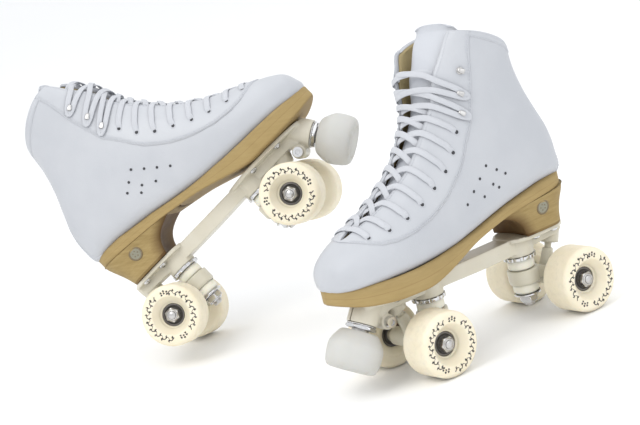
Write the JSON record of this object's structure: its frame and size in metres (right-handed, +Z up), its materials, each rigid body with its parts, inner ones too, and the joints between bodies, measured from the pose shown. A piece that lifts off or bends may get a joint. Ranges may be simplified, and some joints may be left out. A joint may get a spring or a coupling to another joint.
{
  "type": "quad roller skates",
  "caption": "Pair of high white leather quad roller skates with stacked heels, steering trucks, wide wheels and front toe stops; one skate is tipped back.",
  "frame": {"origin": "on the floor under the left skate, midway between its axles", "axes": "+X towards the left skate's toe, +Y to its outer side, +Z up"},
  "size_m": [0.3109, 0.5039, 0.2885],
  "materials": {
    "white_leather": "smooth full-grain leather, satin",
    "tan_lining": "soft pigskin lining, matt",
    "tongue_leather": "padded leather, satin",
    "white_lace": "waxed flat-woven cotton",
    "tan_sole": "lacquered sole leather, satin",
    "tan_heel": "stacked leather, lacquered",
    "ivory_plate": "ivory powder coat, satin",
    "ivory_urethane": "cast urethane, satin",
    "white_rubber": "moulded rubber, matt",
    "cushion_rubber": "urethane, satin",
    "cup_nylon": "moulded nylon",
    "steel": "zinc-plated steel",
    "dark_steel": "oiled bearing steel"
  },
  "bodies": {
    "left_chassis": {"left_boot_upper": "white_leather", "left_boot_lining": "tan_lining", "left_insole": "tan_lining", "left_tongue": "tongue_leather", "left_laces": "white_lace", "left_lace_hardware": "steel", "left_outsole": "tan_sole", "left_heel": "tan_heel", "left_plate": "ivory_plate", "left_plate_screws": "steel", "left_kingpins": "steel", "left_kingpin_nuts": "steel", "left_cushion_retainers": "steel", "left_cushions": "cushion_rubber", "left_pivot_cups": "cup_nylon", "left_toe_stop_locknut": "steel"},
    "left_toe_stop": {"left_toe_stop_pad": "white_rubber", "left_toe_stop_stem": "steel"},
    "left_front_truck": {"left_front_truck": "ivory_plate", "left_front_axle": "steel"},
    "left_wheel_front_outer": {"left_wheel_front_outer": "ivory_urethane", "left_bearings_front_outer": "dark_steel"},
    "left_wheel_front_inner": {"left_wheel_front_inner": "ivory_urethane", "left_bearings_front_inner": "dark_steel"},
    "left_rear_truck": {"left_rear_truck": "ivory_plate", "left_rear_axle": "steel"},
    "left_wheel_rear_outer": {"left_wheel_rear_outer": "ivory_urethane", "left_bearings_rear_outer": "dark_steel"},
    "left_wheel_rear_inner": {"left_wheel_rear_inner": "ivory_urethane", "left_bearings_rear_inner": "dark_steel"},
    "right_chassis": {"right_boot_upper": "white_leather", "right_boot_lining": "tan_lining", "right_insole": "tan_lining", "right_tongue": "tongue_leather", "right_laces": "white_lace", "right_lace_hardware": "steel", "right_outsole": "tan_sole", "right_heel": "tan_heel", "right_plate": "ivory_plate", "right_plate_screws": "steel", "right_kingpins": "steel", "right_kingpin_nuts": "steel", "right_cushion_retainers": "steel", "right_cushions": "cushion_rubber", "right_pivot_cups": "cup_nylon", "right_toe_stop_locknut": "steel"},
    "right_toe_stop": {"right_toe_stop_pad": "white_rubber", "right_toe_stop_stem": "steel"},
    "right_front_truck": {"right_front_truck": "ivory_plate", "right_front_axle": "steel"},
    "right_wheel_front_outer": {"right_wheel_front_outer": "ivory_urethane", "right_bearings_front_outer": "dark_steel"},
    "right_wheel_front_inner": {"right_wheel_front_inner": "ivory_urethane", "right_bearings_front_inner": "dark_steel"},
    "right_rear_truck": {"right_rear_truck": "ivory_plate", "right_rear_axle": "steel"},
    "right_wheel_rear_outer": {"right_wheel_rear_outer": "ivory_urethane", "right_bearings_rear_outer": "dark_steel"},
    "right_wheel_rear_inner": {"right_wheel_rear_inner": "ivory_urethane", "right_bearings_rear_inner": "dark_steel"}
  },
  "joints": [
    {"name": "left_front_steer", "type": "hinge", "parent": "left_chassis", "child": "left_front_truck", "pos_m": [0.054, 0, 0.041], "axis": [0.877, 0, 0.4805], "range_deg": [-8, 8], "stiffness_Nm_per_rad": 25, "deforming": ["left_cushions"]},
    {"name": "left_front_outer_wheel_spin", "type": "hinge", "parent": "left_front_truck", "child": "left_wheel_front_outer", "pos_m": [0.0825, 0, 0.03], "axis": [0, 1, 0], "continuous": true},
    {"name": "left_front_inner_wheel_spin", "type": "hinge", "parent": "left_front_truck", "child": "left_wheel_front_inner", "pos_m": [0.0825, 0, 0.03], "axis": [0, 1, 0], "continuous": true},
    {"name": "left_rear_steer", "type": "hinge", "parent": "left_chassis", "child": "left_rear_truck", "pos_m": [-0.054, 0, 0.041], "axis": [-0.877, 0, 0.4805], "range_deg": [-8, 8], "stiffness_Nm_per_rad": 25, "deforming": ["left_cushions"]},
    {"name": "left_rear_outer_wheel_spin", "type": "hinge", "parent": "left_rear_truck", "child": "left_wheel_rear_outer", "pos_m": [-0.0825, 0, 0.03], "axis": [0, 1, 0], "continuous": true},
    {"name": "left_rear_inner_wheel_spin", "type": "hinge", "parent": "left_rear_truck", "child": "left_wheel_rear_inner", "pos_m": [-0.0825, 0, 0.03], "axis": [0, 1, 0], "continuous": true},
    {"name": "left_toe_stop_adjust", "type": "slide", "parent": "left_chassis", "child": "left_toe_stop", "axis": [0.5639, 0, -0.8258], "range_m": [-0.001, 0.008]},
    {"name": "right_front_steer", "type": "hinge", "parent": "right_chassis", "child": "right_front_truck", "pos_m": [0.03583, -0.249, 0.12438], "axis": [-0.4706, 0.1785, 0.8641], "range_deg": [-8, 8], "stiffness_Nm_per_rad": 25, "deforming": ["right_cushions"]},
    {"name": "right_front_outer_wheel_spin", "type": "hinge", "parent": "right_front_truck", "child": "right_wheel_front_outer", "pos_m": [0.01341, -0.2293, 0.13091], "axis": [0.6794, 0.6982, 0.2257], "continuous": true},
    {"name": "right_front_inner_wheel_spin", "type": "hinge", "parent": "right_front_truck", "child": "right_wheel_front_inner", "pos_m": [0.01341, -0.2293, 0.13091], "axis": [0.6794, 0.6982, 0.2257], "continuous": true},
    {"name": "right_rear_steer", "type": "hinge", "parent": "right_chassis", "child": "right_rear_truck", "pos_m": [0.10962, -0.30189, 0.06588], "axis": [0.7278, -0.6804, -0.0859], "range_deg": [-8, 8], "stiffness_Nm_per_rad": 25, "deforming": ["right_cushions"]},
    {"name": "right_rear_outer_wheel_spin", "type": "hinge", "parent": "right_rear_truck", "child": "right_wheel_rear_outer", "pos_m": [0.12615, -0.3101, 0.04154], "axis": [0.6794, 0.6982, 0.2257], "continuous": true},
    {"name": "right_rear_inner_wheel_spin", "type": "hinge", "parent": "right_rear_truck", "child": "right_wheel_rear_inner", "pos_m": [0.12615, -0.3101, 0.04154], "axis": [0.6794, 0.6982, 0.2257], "continuous": true},
    {"name": "right_toe_stop_adjust", "type": "slide", "parent": "right_chassis", "child": "right_toe_stop", "axis": [-0.6063, 0.7074, -0.3633], "range_m": [-0.001, 0.008]},
    {"name": "right_skate_tip", "type": "hinge", "parent": "left_chassis", "child": "right_chassis", "pos_m": [0.08725, -0.34754, 0.0289], "axis": [0.8899, 0.4561, 0], "range_deg": [-35.93, 4]}
  ]
}
